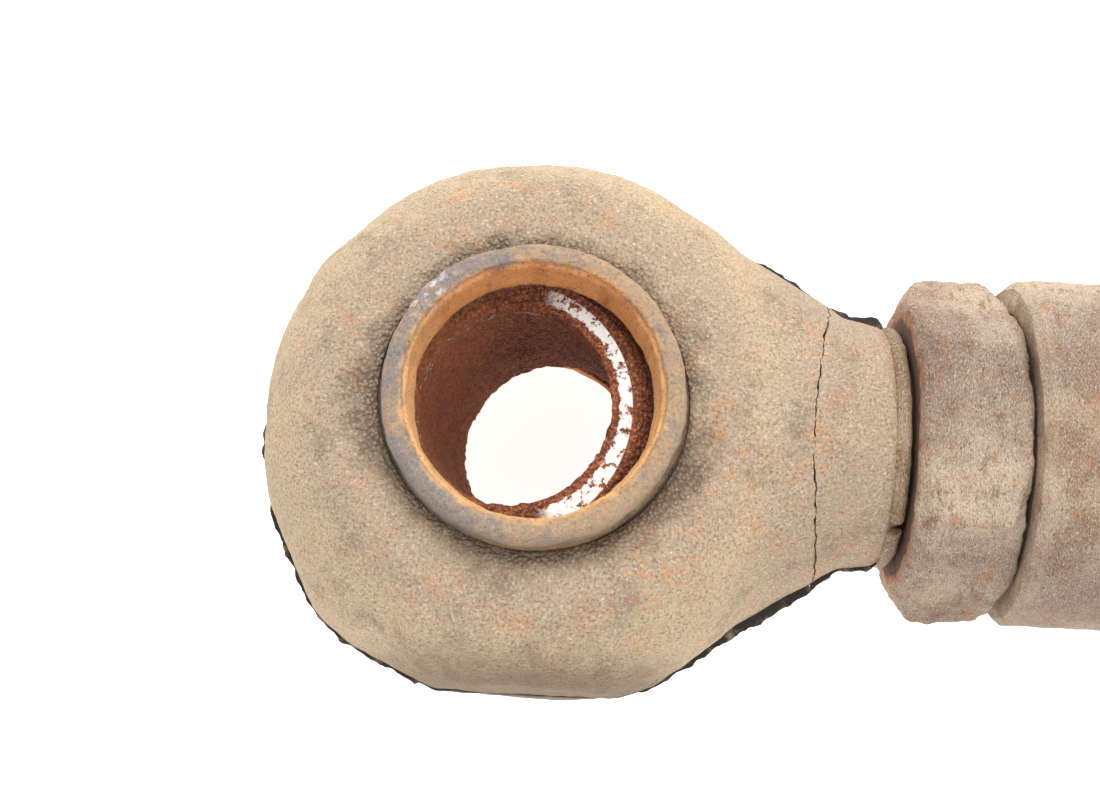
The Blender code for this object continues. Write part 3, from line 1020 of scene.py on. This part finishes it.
@dataclass
class RubberCover:
    """The moulded rubber round the eye, split by a ragged crack from the sleeve on its neck."""

    radius: float = 22.4 * MM
    lean: tuple[float, float, float] = (0.37 * MM, -0.3 * MM, 0.0)
    crown: float = 13.25 * MM
    shoulder: float = 11.9 * MM
    roundness: float = 2.25
    mouth: float = 11.6 * MM
    mouth_spread: float = 0.4 * MM
    lip: float = 12.3 * MM
    flat: float = -21.45 * MM
    bulge: float = 0.75 * MM
    bulge_angle: float = -135.0
    voxel: float = 0.36 * MM
    fin_half: float = 0.3 * MM
    fin_end: float = 28.6 * MM
    crack_middle: float = 21.6 * MM
    crack_curve: float = 2.1 * MM
    crack_slope: float = 0.05
    crack_reach: float = 12.0 * MM
    sleeve_end: float = 29.4 * MM
    sleeve_under_clip: float = 8.85 * MM
    clearance: float = 0.15 * MM
    lumps: tuple[tuple[float, ...], ...] = (
        (18, 14.5, 5, 0.45),
        (20.8, 13.2, 3.5, 0.7),
        (24, 11.2, 3.5, 0.6),
        (26.5, 10.2, 3, 0.4),
        (27.9, 9.9, 1.3, 0.7),
        (18, -14.5, 7, 0.6),
        (23, -12, 3, 0.3),
        (-21.5, -9, 7, 0.3),
        (-22, 1, 2.5, -0.4),
    )
    neck: tuple[tuple[float, ...], ...] = (
        (11, 18.0, 12.2),
        (16, 16.0, 12.3),
        (19.5, 13.7, 11.9),
        (22.8, 11.9, 11.2),
        (25.3, 10.5, 10.4),
        (28.4, 9.85, 9.85),
    )

    def dome(self) -> bmesh.types.BMesh:
        """The round body, dipping a little towards the mouth on both sides.

        Returns:
            The closed form.
        """
        quarter = [math.radians(5 * i) for i in range(18)]
        side = [
            (
                self.shoulder + (self.radius - self.shoulder) * math.sin(t) ** (2 / self.roundness),
                self.crown * math.cos(t) ** (2 / self.roundness),
            )
            for t in quarter
        ]
        top = [(0, 12.0 * MM), (self.mouth - 0.3 * MM, 12.0 * MM), (12.2 * MM, 12.85 * MM)]
        upper = top + side[4:]
        lower = [(r, -height) for r, height in reversed(upper)]
        work = turned(upper + [(self.radius, 0)] + lower, Axis.BORE, 96)
        for vert in work.verts:
            vert.co += Vector(self.lean) * max(0.0, 1 - (vert.co.z / self.crown) ** 2)
        return work

    def body(self) -> bpy.types.Object:
        """The whole rubber as one solid, with its neck, worn flat and bulge.

        Returns:
            The piece.
        """
        piece = as_object("rubber_body", self.dome())
        combine(piece, lofted([(x * MM, y * MM, z * MM) for x, y, z in self.neck], 64), Cut.JOIN)
        end = self.sleeve_end
        step = [(0, end), (self.sleeve_under_clip, end), (self.sleeve_under_clip, 24 * MM), (0, 24 * MM)]
        combine(piece, turned(step, Axis.SHANK, 64), Cut.JOIN)
        reach = 60 * MM
        combine(piece, block((-reach, -reach, -reach), (reach, self.flat, reach)), Cut.REMOVE)
        evened(piece, self.voxel, 10)
        for vert in piece.data.vertices:
            vert.co += self.swell(vert.co)
        weathered(piece, 9 * MM, 0.35 * MM, 3.1, self.away_from_clip)
        return weathered(piece, 1.6 * MM, 0.09 * MM, 5.7, self.away_from_clip)

    def swell(self, place: Vector) -> Vector:
        """How far the lower left of the rim bulges at a place.

        Args:
            place: the place.

        Returns:
            The move.
        """
        angle = math.degrees(math.atan2(place.y, place.x))
        near = max(0.0, 1 - abs(angle - self.bulge_angle) / 20)
        low = max(0.0, 1 - abs(place.z) / (9 * MM))
        share = near * near * (3 - 2 * near) * low
        return Vector((place.x, place.y, 0)).normalized() * self.bulge * share

    def away_from_clip(self, place: Vector) -> float:
        """Full wear on the free rubber, and none under the clip or down at the mouth.

        Args:
            place: the place.

        Returns:
            The share, from 0 to 1.
        """
        along = min(1.0, max(0.0, (27.5 * MM - place.x) / (2 * MM)))
        out = min(1.0, max(0.0, (math.hypot(place.x, place.y) - 12 * MM) / MM))
        return along * out

    def fin(self, body: bpy.types.Object) -> bmesh.types.BMesh:
        """The torn fin of moulding flash that stands out all round the mid-plane.

        Args:
            body: the solid rubber, whose outline it follows.

        Returns:
            The fin with the slice of rubber inside it.
        """
        work = bmesh.new()
        work.from_mesh(body.data)
        for sign in (1, -1):
            geometry = list(work.verts) + list(work.edges) + list(work.faces)
            bmesh.ops.bisect_plane(
                work,
                geom=geometry,
                plane_co=(0, 0, sign * self.fin_half),
                plane_no=(0, 0, sign),
                clear_outer=True,
            )
        work.normal_update()
        moves = [(vert, self.torn(vert.co), vert.normal.copy()) for vert in work.verts]
        for vert, share, normal in moves:
            flat = Vector((normal.x, normal.y, 0))
            if flat.length > 0.2:
                vert.co += flat.normalized() * share
        bmesh.ops.holes_fill(work, edges=work.edges, sides=0)
        bmesh.ops.recalc_face_normals(work, faces=work.faces)
        return work

    def torn(self, place: Vector) -> float:
        """How far the fin stands out at a place on the outline.

        Args:
            place: the place.

        Returns:
            The distance.
        """
        flat = Vector((place.x, place.y, 0))
        wide = noise.noise(flat / (5 * MM) + Vector((7, 1, 0)))
        ragged = noise.noise(flat / (0.9 * MM) + Vector((2, 9, 0)))
        nick = noise.noise(flat / (0.45 * MM) + Vector((4, 4, 0)))
        out = 0.2 + 0.3 * wide + 0.2 * ragged + 0.12 * nick
        for x, y, reach, more in self.lumps:
            out += more * max(0.0, 1 - math.hypot(place.x / MM - x, place.y / MM - y) / reach)
        if place.x > self.fin_end:
            return 0.0
        if place.y < self.flat + 0.6 * MM:
            out *= 0.3
        return max(0.02, out) * MM

    def crack(self, place: Vector, seed: float) -> float:
        """Where along the shank the crack runs at a place across it.

        Args:
            place: a point of the cutting sheet, with Y and Z set.
            seed: shifts the jags, so that the two sides of the crack differ.

        Returns:
            Its X.
        """
        bow = min(1.5, (place.y / self.crack_reach) ** 2)
        slow = noise.noise(Vector((3, place.y / (4 * MM), place.z / (4 * MM))))
        jag = noise.noise(Vector((8, place.y / (0.7 * MM), place.z / (0.7 * MM))))
        chip = noise.noise(Vector((seed, place.y / (0.5 * MM), place.z / (0.5 * MM))))
        way = self.crack_middle + self.crack_curve * bow + self.crack_slope * place.y
        return way + (0.35 * slow + 0.2 * jag + 0.12 * chip) * MM

    def gape(self, place: Vector) -> float:
        """Half the width of the crack at a place across it.

        Args:
            place: the place.

        Returns:
            The distance.
        """
        wide = noise.noise(Vector((1, place.y / (3 * MM), place.z / (3 * MM))))
        ends = min(1.0, (place.y / self.crack_reach) ** 2)
        return (0.035 + 0.1 * max(0.0, wide) + 0.05 * ends) * MM

    def cut_at_crack(self, sign: int) -> bmesh.types.BMesh:
        """A solid whose one side is the crack.

        Args:
            sign: 1 for all that lies beyond it, -1 for all before it.

        Returns:
            The form.
        """
        half = 26 * MM
        work = bmesh.new()
        turn = Matrix.Rotation(math.radians(90), 4, "Y")
        bmesh.ops.create_grid(work, x_segments=170, y_segments=170, size=half, matrix=turn)
        for vert in work.verts:
            vert.co.x = self.crack(vert.co, 5.0 + sign) - sign * self.gape(vert.co)
        made = bmesh.ops.extrude_face_region(work, geom=work.faces[:])
        far = [item for item in made["geom"] if isinstance(item, bmesh.types.BMVert)]
        for vert in far:
            vert.co.x = sign * 60 * MM
        bmesh.ops.recalc_face_normals(work, faces=work.faces)
        return work

    def inner_forms(self) -> list[bmesh.types.BMesh]:
        """The spaces inside the rubber: the steel eye, the shank and the mouth.

        Returns:
            The forms to cut away.
        """
        spread = self.clearance
        shank = [(0, 80), (8.0, 80), (8.0, 27.6), (7.55, 27.1), (7.55, 25.6), (8.4, 23.2), (9.6, 20.8)]
        shank = [(r * MM + (spread if r else 0), x * MM) for r, x in shank]
        shank += [(9.9 * MM, 10 * MM), (0, 10 * MM)]
        mouth = [(0, 20 * MM), (self.mouth, 20 * MM), (self.mouth, self.lip), (13.6 * MM, self.lip)]
        opening = turned(both_sides([*mouth, (14.5 * MM, 10.5 * MM)]), Axis.BORE, 96)
        for vert in opening.verts:
            angle = math.atan2(vert.co.y, vert.co.x) - math.radians(160)
            share = 0.5 + 0.5 * math.cos(2 * angle)
            out = Vector((vert.co.x, vert.co.y, 0))
            if out.length > 11 * MM:
                vert.co += out.normalized() * self.mouth_spread * share
        return [turned(eye_outline(spread), Axis.BORE, 72), turned(shank, Axis.SHANK, 48), opening]

    def build(self, rubber: bpy.types.Material) -> None:
        """Makes the eye cover and the neck sleeve.

        Args:
            rubber: the material of both.
        """
        body = self.body()
        combine(body, self.fin(body), Cut.JOIN)
        for form in self.inner_forms():
            combine(body, form, Cut.REMOVE)
        for name, sign, node in (("eye_cover", 1, "eye_boot"), ("neck_cover", -1, "neck_sleeve")):
            piece = as_object(name, bmesh.new())
            piece.data = body.data.copy()
            combine(piece, self.cut_at_crack(sign), Cut.REMOVE)
            hand_over(finished(piece, rubber, 60), "eye", node)
        bpy.data.objects.remove(body)


@dataclass
class ClosingRing:
    """The turned iron ring that closes one side of the eye and guides the bolt head."""

    outside: float = 11.45 * MM
    top: float = 16.0 * MM
    mouth: float = 9.6 * MM
    throat: float = 9.2 * MM
    throat_height: float = 11.9 * MM
    relief: float = 15.4 * MM
    flange: float = 16.3 * MM
    flange_low: float = 6.8 * MM
    flange_high: float = 8.2 * MM
    edge: float = 0.75 * MM
    lip_step: float = 0.35 * MM

    def profile(self) -> list[Point]:
        """The section of the ring, from its mouth round the outside and back.

        Returns:
            The points in order.
        """
        lip = [
            (self.outside - self.edge * (1 - math.sin(a)), self.top - self.edge * (1 - math.cos(a)))
            for a in (math.radians(15 * i) for i in range(7))
        ]
        step, roll = self.lip_step, 0.3 * MM
        inner_lip = [(self.mouth, self.top - 2 * step), (self.mouth + roll, self.top - step)]
        inner_lip += [
            (self.mouth + roll + step * (1 - math.cos(a)), self.top - step * (1 - math.sin(a)))
            for a in (math.radians(18 * i) for i in range(6))
        ]
        outer = [(self.outside, 12.4 * MM), (14.2 * MM, 9.0 * MM), (14.2 * MM, self.flange_high)]
        outer += [(self.flange, self.flange_high), (self.flange, self.flange_low)]
        start = math.degrees(math.acos(self.flange_low / self.relief))
        end = math.degrees(math.asin(9.8 * MM / self.relief))
        inner = arc(self.relief, start, end, 16) + [(self.throat + 0.15 * MM, self.throat_height - 0.05 * MM)]
        inner += [(self.throat, self.throat_height + 0.15 * MM), (self.throat, self.throat_height + 0.6 * MM)]
        line = lip + outer + inner + inner_lip
        return finely(line, 0.4 * MM)

    def build(self, side: Side, rust: bpy.types.Material) -> None:
        """Makes the ring of one side.

        Args:
            side: the side.
            rust: its material.
        """
        form = turned(mirrored(self.profile(), side), Axis.BORE, 160, loop=True)
        piece = as_object(f"{side.title}_ring", form)
        weathered(piece, 4 * MM, 0.14 * MM, 1.3 * side.value)
        weathered(piece, 0.9 * MM, 0.08 * MM, 8.3)
        hand_over(finished(piece, rust), "eye", f"{side.title}_closing_ring")


@dataclass
class BallJoint:
    """The drilled ball, and the liner and races that it turns in."""

    radius: float = 14.25 * MM
    half_width: float = 10.0 * MM
    bore: float = 8.0 * MM
    chamfer: float = 0.2 * MM
    crust_lip: float = 0.25 * MM
    rest_tilt: float = -10.0
    sides: int = 200

    def profile(self) -> list[Point]:
        """The section of the ball: the sphere, the two faces and the bore.

        Returns:
            The points in order.
        """
        rim = math.degrees(math.acos(self.half_width / self.radius))
        sphere = arc(self.radius, rim, 180 - rim, 41)
        wide, high = self.bore + self.chamfer, self.half_width
        narrow = self.bore - self.crust_lip
        wall = [(wide, -high), (self.bore, self.chamfer - high), (self.bore, high - 2.2 * MM)]
        wall += [(narrow, high - 0.6 * MM), (narrow + 0.1 * MM, high - 0.15 * MM)]
        wall += [(self.bore + 0.3 * MM, high)]
        return sphere + finely([sphere[-1]] + wall, 0.35 * MM)[1:]

    def crust(self, place: Vector) -> float:
        """Full rust relief in the bore and on its chamfers, and none on the running sphere.

        Args:
            place: the place.

        Returns:
            The share, from 0 to 1.
        """
        out = math.hypot(place.x, place.y)
        return min(1.0, max(0.0, (8.9 * MM - out) / (0.4 * MM)))

    def build(self, ball: bpy.types.Material, steel: bpy.types.Material, cloth: bpy.types.Material) -> None:
        """Makes the ball and dresses what holds it.

        Args:
            ball: material of the ball.
            steel: material of the races.
            cloth: material of the liner.
        """
        piece = as_object("drilled_ball", turned(self.profile(), Axis.BORE, self.sides, loop=True))
        weathered(piece, 0.55 * MM, 0.16 * MM, 4.4, self.crust)
        piece.data.transform(Matrix.Rotation(math.radians(self.rest_tilt), 4, "Y"))
        hand_over(finished(piece, ball), "ball", "ball")
        dress(("front_race", "rear_race"), steel)
        dress(("ball_liner",), cloth)


@dataclass
class Fastenings:
    """The small rings inside the eye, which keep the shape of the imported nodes."""

    def build(self, rubber: bpy.types.Material, steel: bpy.types.Material) -> None:
        """Dresses the seals, circlips and wires.

        Args:
            rubber: material of the seals.
            steel: material of the spring steel parts.
        """
        for side in Side:
            dress((f"{side.title}_wiper_seal",), rubber)
            dress((f"{side.title}_circlip", f"{side.title}_lip_wire"), steel)


@dataclass
class ForgedEye:
    """The forged eye and its threaded shank."""

    bore: float = 16.6 * MM
    groove: float = 16.95 * MM
    core: float = 7.1 * MM
    shank_end: float = 70.5 * MM

    def build(self, iron: bpy.types.Material) -> None:
        """Makes the forging with a real thread.

        Args:
            iron: its material.
        """
        piece = as_object("forged_eye", turned(eye_outline(), Axis.BORE, 96))
        end = self.shank_end
        neck = [(0, end), (self.core - 0.4 * MM, end), (self.core, end - 0.5 * MM), (self.core, 28.4 * MM)]
        neck += [(7.5 * MM, 27.2 * MM), (7.5 * MM, 25.6 * MM), (8.4 * MM, 23.2 * MM), (9.6 * MM, 20.8 * MM)]
        neck += [(9.6 * MM, 10 * MM), (0, 10 * MM)]
        combine(piece, turned(neck, Axis.SHANK, 64), Cut.JOIN)
        bore = [(0, 14 * MM), (self.bore, 14 * MM), (self.bore, 9.6 * MM), (self.groove, 9.6 * MM)]
        bore += [(self.groove, 8.4 * MM), (self.bore, 8.4 * MM)]
        combine(piece, turned(both_sides(bore), Axis.BORE, 96), Cut.REMOVE)
        ridge = helix(self.core - 0.15 * MM, THREAD_RADIUS - 0.02 * MM, 28.6 * MM, end - MM)
        combine(piece, ridge, Cut.JOIN)
        hand_over(finished(piece, iron, 35), "eye", "eye_housing")


@dataclass
class NeckClip:
    """The split band that grips the end of the sleeve."""

    inside: float = 9.15 * MM
    outside: float = 9.95 * MM
    low: float = 28.2 * MM
    high: float = 29.45 * MM
    edge: float = 0.38 * MM
    gap: float = 1.2 * MM
    split_at: float = 52.0

    def build(self, rust: bpy.types.Material) -> None:
        """Makes the band.

        Args:
            rust: its material.
        """
        worn = self.outside - self.edge
        section = [(self.inside, self.low), (worn, self.low), (self.outside, self.low + self.edge)]
        section += [(self.outside, self.high - self.edge), (worn, self.high), (self.inside, self.high)]
        work = bmesh.new()
        points = [work.verts.new((along, 0, r)) for r, along in section]
        face = work.faces.new(points)
        opening = self.gap / self.outside
        start = Matrix.Rotation(math.radians(self.split_at) + opening / 2, 3, "X")
        bmesh.ops.rotate(work, matrix=start, verts=work.verts)
        round_way = math.tau - opening
        bmesh.ops.spin(
            work, geom=[face], cent=(0, 0, 0), axis=(1, 0, 0), angle=round_way, steps=120, use_merge=False
        )
        bmesh.ops.holes_fill(work, edges=work.edges, sides=0)
        bmesh.ops.recalc_face_normals(work, faces=work.faces)
        piece = as_object("split_band", work)
        weathered(piece, 1.2 * MM, 0.08 * MM, 6.6)
        hand_over(finished(piece, rust, 50), "eye", "neck_clip")


@dataclass
class JamNut:
    """The worn jam nut."""

    low: float = 29.8 * MM
    high: float = 38.3 * MM
    flats: float = 24.8 * MM
    turn: float = 4.5
    chamfer_radius: float = 11.8 * MM
    chamfer_angle: float = 32.0
    bore: float = 8.3 * MM

    def build(self, iron: bpy.types.Material) -> None:
        """Makes the nut.

        Args:
            iron: its material.
        """
        corner = self.flats / math.sqrt(3)
        work = bmesh.new()
        depth = self.high - self.low
        bmesh.ops.create_cone(work, cap_ends=True, segments=6, radius1=corner, radius2=corner, depth=depth)
        bmesh.ops.rotate(work, matrix=Matrix.Rotation(math.radians(90), 3, "Y"), verts=work.verts)
        turn = Matrix.Rotation(math.radians(self.turn), 3, "X")
        bmesh.ops.rotate(work, matrix=turn, verts=work.verts)
        bmesh.ops.translate(work, vec=((self.low + self.high) / 2, 0, 0), verts=work.verts)
        piece = as_object("worn_nut", work)
        slope = (corner - self.chamfer_radius) * math.tan(math.radians(self.chamfer_angle))
        wide, narrow = corner + 0.1 * MM, self.chamfer_radius
        outline = [(0, self.high + MM), (narrow, self.high + MM), (narrow, self.high)]
        outline += [(wide, self.high - slope), (wide, self.low + slope), (narrow, self.low)]
        outline += [(narrow, self.low - MM), (0, self.low - MM)]
        combine(piece, turned(outline, Axis.SHANK, 96), Cut.KEEP_COMMON)
        evened(piece, 0.3 * MM, 5)
        weathered(piece, 3.5 * MM, 0.3 * MM, 2.2, self.outer)
        weathered(piece, 0.9 * MM, 0.16 * MM, 9.1, self.outer)
        mouth = self.bore + 1.6 * MM
        hole = [(0, self.high + MM), (mouth, self.high + MM), (self.bore, self.high - 0.5 * MM)]
        hole += [(self.bore, self.low + 0.5 * MM), (mouth, self.low - MM), (0, self.low - MM)]
        combine(piece, turned(hole, Axis.SHANK, 64), Cut.REMOVE)
        groove = helix(self.bore - 0.1 * MM, self.bore + 0.6 * MM, self.low - MM, self.high + MM)
        combine(piece, groove, Cut.REMOVE)
        hand_over(finished(piece, iron), "nut", "jam_nut")

    def outer(self, place: Vector) -> float:
        """Full wear on the outside, and little on the two end faces."""
        return min(1.0, max(0.15, (math.hypot(place.y, place.z) - 10 * MM) / (1.5 * MM)))


@dataclass
class TieTube:
    """The tube and the threaded bungs in its ends."""

    low: float = 38.6 * MM
    high: float = 138.6 * MM
    radius: float = 14.25 * MM
    bore: float = 11.6 * MM
    chamfer: float = 0.6 * MM
    bung_radius: float = 11.5 * MM
    bung_length: float = 34.0 * MM
    bung_mouth: float = 0.7 * MM
    minor: float = 7.25 * MM

    def tube(self) -> bmesh.types.BMesh:
        """The plain tube, finely divided for its wear.

        Returns:
            The closed form.
        """
        edge = self.chamfer
        outer = [(self.bore, self.low), (self.radius - edge, self.low), (self.radius, self.low + edge)]
        outer += [(self.radius, self.high - edge), (self.radius - edge, self.high), (self.bore, self.high)]
        return turned(finely(outer, 0.6 * MM), Axis.SHANK, 144, loop=True)

    def far_bung(self) -> bpy.types.Object:
        """The bung in the open end, with its thread cut.

        Returns:
            The piece.
        """
        face, back, mouth = self.high - 0.2 * MM, self.high - self.bung_length, self.bung_mouth
        outline = [(THREAD_RADIUS + mouth, face), (self.bung_radius, face), (self.bung_radius, back)]
        outline += [(self.minor, back), (self.minor, face - mouth - THREAD_RADIUS + self.minor)]
        piece = as_object("threaded_bung", turned(outline, Axis.SHANK, 96, loop=True))
        groove = helix(self.minor - 0.1 * MM, THREAD_RADIUS, back - MM, face + MM)
        return combine(piece, groove, Cut.REMOVE)

    def build(self, iron: bpy.types.Material) -> None:
        """Makes the tube and the far bung, and dresses the near one.

        Args:
            iron: material of all three.
        """
        piece = as_object("worn_tube", self.tube())
        weathered(piece, 6 * MM, 0.22 * MM, 7.7, self.outer)
        weathered(piece, 1.3 * MM, 0.1 * MM, 1.9, self.outer)
        hand_over(finished(piece, iron), "tube", "tie_tube")
        hand_over(finished(self.far_bung(), iron), "tube", "far_bung")
        dress(("near_bung",), iron)

    def outer(self, place: Vector) -> float:
        """Full wear outside the tube, and none where the bungs sit."""
        return min(1.0, max(0.0, (math.hypot(place.y, place.z) - 12.2 * MM) / MM))


# ---------------------------------------------------------------- studio


@dataclass
class Studio:
    """A pale floor, soft lights and the camera."""

    distance: float = 150 * MM
    elevation: float = 77.4
    azimuth: float = 1.3
    roll: float = 1.3
    aim: tuple[float, float, float] = (1.17 * MM, 2.78 * MM, 0)
    lens: float = 58.9
    floor_glow: float = 0.86
    room_light: float = 0.66
    lamp_size: float = 300 * MM
    key: tuple[float, float, float] = (20 * MM, 300 * MM, 420 * MM)
    key_power: float = 2.4
    fill: tuple[float, float, float] = (160 * MM, -260 * MM, 420 * MM)
    fill_power: float = 0.8

    def floor(self) -> None:
        """The floor just under the rear closing ring, pale and a little bright of itself."""
        work = bmesh.new()
        bmesh.ops.create_grid(work, x_segments=1, y_segments=1, size=3)
        bmesh.ops.translate(work, vec=(0, 0, CAD_BOX[0].z - 0.2 * MM), verts=work.verts)
        floor = as_object("floor", work)
        w = Wiring("floor_white", (0.9, 0.9, 0.9))
        w.shader.inputs["Emission Color"].default_value = (1, 1, 1, 1)
        w.shader.inputs["Emission Strength"].default_value = self.floor_glow
        floor.data.materials.append(w.close(0.9))

    def lights(self) -> None:
        """A bright room, and two large lamps above: a strong one beyond the eye, a weak one on this side."""
        world = bpy.data.worlds.new("room")
        world.use_nodes = True
        background = world.node_tree.nodes["Background"]
        background.inputs["Color"].default_value = (1, 1, 1, 1)
        background.inputs["Strength"].default_value = self.room_light
        bpy.context.scene.world = world
        for name, place, power in (("key", self.key, self.key_power), ("fill", self.fill, self.fill_power)):
            data = bpy.data.lights.new(name, "AREA")
            data.size = self.lamp_size
            data.energy = power
            lamp = bpy.data.objects.new(name, data)
            lamp.location = place
            lamp.rotation_euler = (-Vector(place)).to_track_quat("-Z", "Y").to_euler()
            bpy.context.scene.collection.objects.link(lamp)

    def camera(self) -> None:
        """The camera above the front of the eye, a little below its middle."""
        data = bpy.data.cameras.new("camera")
        data.lens = self.lens
        data.clip_start, data.clip_end = 0.01, 10
        camera = bpy.data.objects.new("camera", data)
        bpy.context.scene.collection.objects.link(camera)
        up, side = math.radians(self.elevation), math.radians(self.azimuth)
        back = Vector((math.sin(side) * math.cos(up), -math.cos(side) * math.cos(up), math.sin(up)))
        camera.location = Vector(self.aim) + back * self.distance
        aimed = (-back).to_track_quat("-Z", "Y").to_matrix()
        camera.rotation_euler = (aimed @ Matrix.Rotation(math.radians(self.roll), 3, "Z")).to_euler()
        bpy.context.scene.camera = camera

    def build(self) -> None:
        """Sets up the whole studio."""
        self.floor()
        self.lights()
        self.camera()
        bpy.context.scene.view_settings.view_transform = "Standard"


def main() -> None:
    """Builds every sub-assembly in order."""
    logging.basicConfig(level=logging.INFO, format="%(message)s")
    rubber = DustyRubber().build()
    iron = DustyIron().build()
    tan = DustyIron("dusty_band", dust=paint(186, 162, 130), brown=paint(150, 124, 94), greyness=0.0).build()
    steel = BareSteel().build()
    RubberCover().build(rubber)
    ring_rust = RingRust().build()
    for side in Side:
        ClosingRing().build(side, ring_rust)
    BallJoint().build(BallRust().build(), steel, LinerCloth().build())
    Fastenings().build(rubber, steel)
    ForgedEye().build(iron)
    NeckClip().build(tan)
    JamNut().build(iron)
    TieTube().build(iron)
    Studio().build()


if __name__ == "__main__":
    main()
